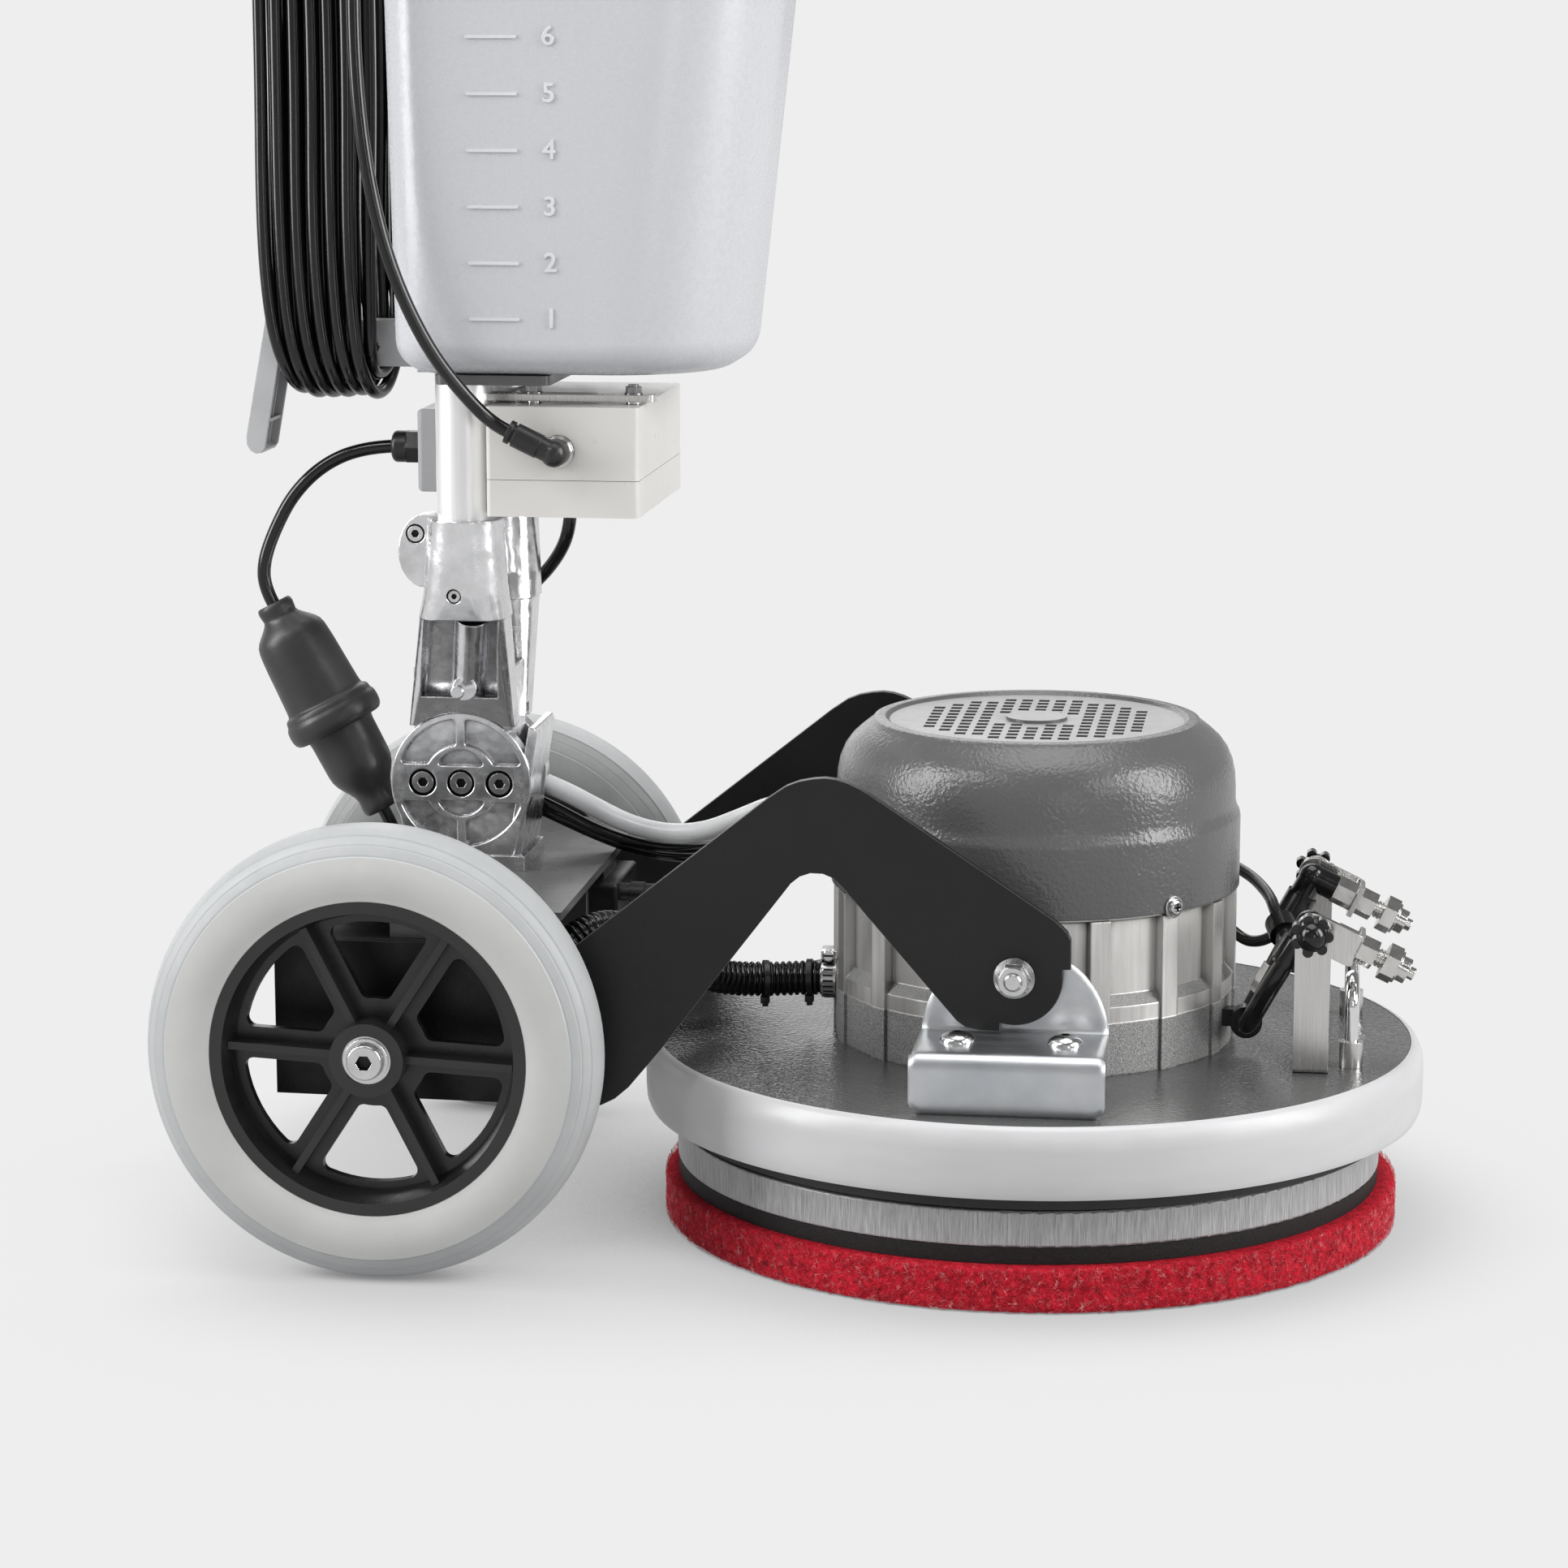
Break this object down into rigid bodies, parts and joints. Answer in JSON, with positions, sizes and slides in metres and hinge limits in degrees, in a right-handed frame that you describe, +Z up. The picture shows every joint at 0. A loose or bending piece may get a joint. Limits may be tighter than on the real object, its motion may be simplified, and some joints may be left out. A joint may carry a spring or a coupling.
{
  "type": "orbital floor machine",
  "caption": "Upright orbital floor scrubber: round pad head with top motor, spray nozzles, rear transport wheels and a tilting tube handle with solution tank and pump box.",
  "frame": {"origin": "on the floor under the motor axis, at the middle of the pad's underside", "axes": "+X from the wheels towards the pad head's front, +Y to the machine's far side (its left when facing +X), +Z up"},
  "size_m": [0.7157, 0.4594, 1.136],
  "materials": {
    "deck_paint": "hammered satin enamel",
    "bumper_grey": "smooth",
    "cast_aluminium": "sand-cast and machined",
    "polished_casting": "polished casting",
    "tube_aluminium": "anodised",
    "black_steel": "black satin powder coat",
    "zinc_sheet": "bright zinc plating",
    "steel_screws": "bright",
    "stainless": "brushed",
    "nickel": "nickel plated",
    "chrome": "polished",
    "tyre_grey": "smooth non-marking rubber",
    "rim_black": "moulded",
    "black_gloss": "gloss",
    "black_plastic": "moulded",
    "black_rubber": "soft",
    "beige_plastic": "moulded",
    "grey_plastic": "moulded",
    "light_plastic": "moulded",
    "holder_black": "bristled",
    "pad_red": "non-woven fibre",
    "tank_plastic": "translucent",
    "iron_core": "laminated",
    "fan_plastic": "moulded",
    "trigger_red": "moulded"
  },
  "bodies": {
    "carriage": {"side_arms": "black_steel", "rear_channel": "black_steel", "mounting_plate": "black_steel", "frame_bolts": "steel_screws", "hinge_base": "polished_casting", "capacitor_box": "black_plastic", "wheel_bearings": "steel_screws"},
    "deck": {"deck_plate": "deck_paint", "deck_bumper": "bumper_grey", "motor_housing": "cast_aluminium", "end_shield": "cast_aluminium", "motor_stator": "iron_core", "fan_cover": "deck_paint", "deck_screws": "steel_screws", "pivot_brackets": "zinc_sheet", "nozzle_posts": "stainless", "lift_handle": "chrome", "motor_conduit": "black_rubber", "deck_hoses": "black_rubber", "spray_valve": "black_plastic"},
    "rotor": {"motor_rotor": "iron_core", "cooling_fan": "fan_plastic", "eccentric_hub": "iron_core", "shaft_bearings": "steel_screws"},
    "driver": {"driver_disc": "light_plastic", "pad_holder": "holder_black", "cleaning_pad": "pad_red"},
    "nozzle_near": {"nozzle_near": "nickel"},
    "nozzle_far": {"nozzle_far": "nickel"},
    "knob_near": {"knob_near": "black_gloss"},
    "knob_far": {"knob_far": "black_gloss"},
    "wheel_near": {"tyre_near": "tyre_grey", "rim_near": "rim_black"},
    "wheel_far": {"tyre_far": "tyre_grey", "rim_far": "rim_black"},
    "handle": {"hinge_head": "polished_casting", "handle_tubes": "tube_aluminium", "pump_box_body": "beige_plastic", "pump_box_lid": "beige_plastic", "dosing_pump": "fan_plastic", "pump_plate": "stainless", "handle_screws": "steel_screws", "junction_box": "grey_plastic", "handle_fittings": "black_plastic", "tank_saddle": "black_plastic", "tank": "tank_plastic", "cord_hooks": "grey_plastic", "control_head": "black_plastic", "hand_grips": "black_rubber", "mains_cord": "black_rubber", "mains_plug": "black_rubber", "suction_hose": "black_rubber", "outlet_hose": "black_rubber", "motor_lead": "black_rubber", "lead_coupling": "black_rubber"},
    "tank_cap": {"tank_cap": "black_plastic"},
    "trigger_near": {"trigger_near": "trigger_red"},
    "trigger_far": {"trigger_far": "trigger_red"},
    "safety_button": {"safety_button": "trigger_red"},
    "tilt_lever": {"tilt_lever": "black_plastic"}
  },
  "joints": [
    {"name": "deck_pivot", "type": "hinge", "parent": "carriage", "child": "deck", "pos_m": [0, 0, 0.1745], "axis": [0, 1, 0], "range_deg": [-8, 5], "deforming": ["motor_conduit", "deck_hoses"]},
    {"name": "motor_spin", "type": "hinge", "parent": "deck", "child": "rotor", "pos_m": [0, 0, 0.2], "axis": [0, 0, 1], "continuous": true},
    {"name": "pad_orbit", "type": "hinge", "parent": "rotor", "child": "driver", "pos_m": [-0.003, 0, 0.048], "axis": [0, 0, 1], "continuous": true},
    {"name": "wheel_near_spin", "type": "hinge", "parent": "carriage", "child": "wheel_near", "pos_m": [-0.356, -0.187, 0.13], "axis": [0, 1, 0], "continuous": true},
    {"name": "wheel_far_spin", "type": "hinge", "parent": "carriage", "child": "wheel_far", "pos_m": [-0.356, 0.187, 0.13], "axis": [0, 1, 0], "continuous": true},
    {"name": "handle_tilt", "type": "hinge", "parent": "carriage", "child": "handle", "pos_m": [-0.338, 0, 0.254], "axis": [0, -1, 0], "range_deg": [0, 65], "deforming": ["outlet_hose", "motor_lead", "lead_coupling"]},
    {"name": "nozzle_near_tilt", "type": "hinge", "parent": "deck", "child": "nozzle_near", "pos_m": [0.1635, -0.08, 0.1905], "axis": [0, 1, 0], "range_deg": [-30, 12]},
    {"name": "nozzle_far_tilt", "type": "hinge", "parent": "deck", "child": "nozzle_far", "pos_m": [0.1635, 0.08, 0.1905], "axis": [0, 1, 0], "range_deg": [-30, 8]},
    {"name": "knob_near_turn", "type": "hinge", "parent": "deck", "child": "knob_near", "pos_m": [0.1635, -0.09, 0.1905], "axis": [0, 1, 0], "continuous": true},
    {"name": "knob_far_turn", "type": "hinge", "parent": "deck", "child": "knob_far", "pos_m": [0.1635, 0.09, 0.1905], "axis": [0, 1, 0], "continuous": true},
    {"name": "cap_turn", "type": "hinge", "parent": "handle", "child": "tank_cap", "pos_m": [-0.235, 0, 0.845], "axis": [0, 0, 1], "range_deg": [0, 90]},
    {"name": "trigger_near_squeeze", "type": "hinge", "parent": "handle", "child": "trigger_near", "pos_m": [-0.37, -0.084, 1.075], "axis": [-1, 0, 0], "range_deg": [0, 6], "stiffness_Nm_per_rad": 1.5, "springref_deg": -8.59},
    {"name": "trigger_far_squeeze", "type": "hinge", "parent": "handle", "child": "trigger_far", "pos_m": [-0.37, 0.084, 1.075], "axis": [1, 0, 0], "range_deg": [0, 6], "stiffness_Nm_per_rad": 1.5, "springref_deg": -8.59},
    {"name": "safety_press", "type": "slide", "parent": "handle", "child": "safety_button", "axis": [0, 0, -1], "range_m": [0, 0.004], "stiffness_N_per_m": 400, "springref_m": -0.003},
    {"name": "tilt_release", "type": "hinge", "parent": "handle", "child": "tilt_lever", "pos_m": [-0.405, 0, 1.087], "axis": [0, 1, 0], "range_deg": [0, 12], "stiffness_Nm_per_rad": 0.8, "springref_deg": -17.19}
  ]
}
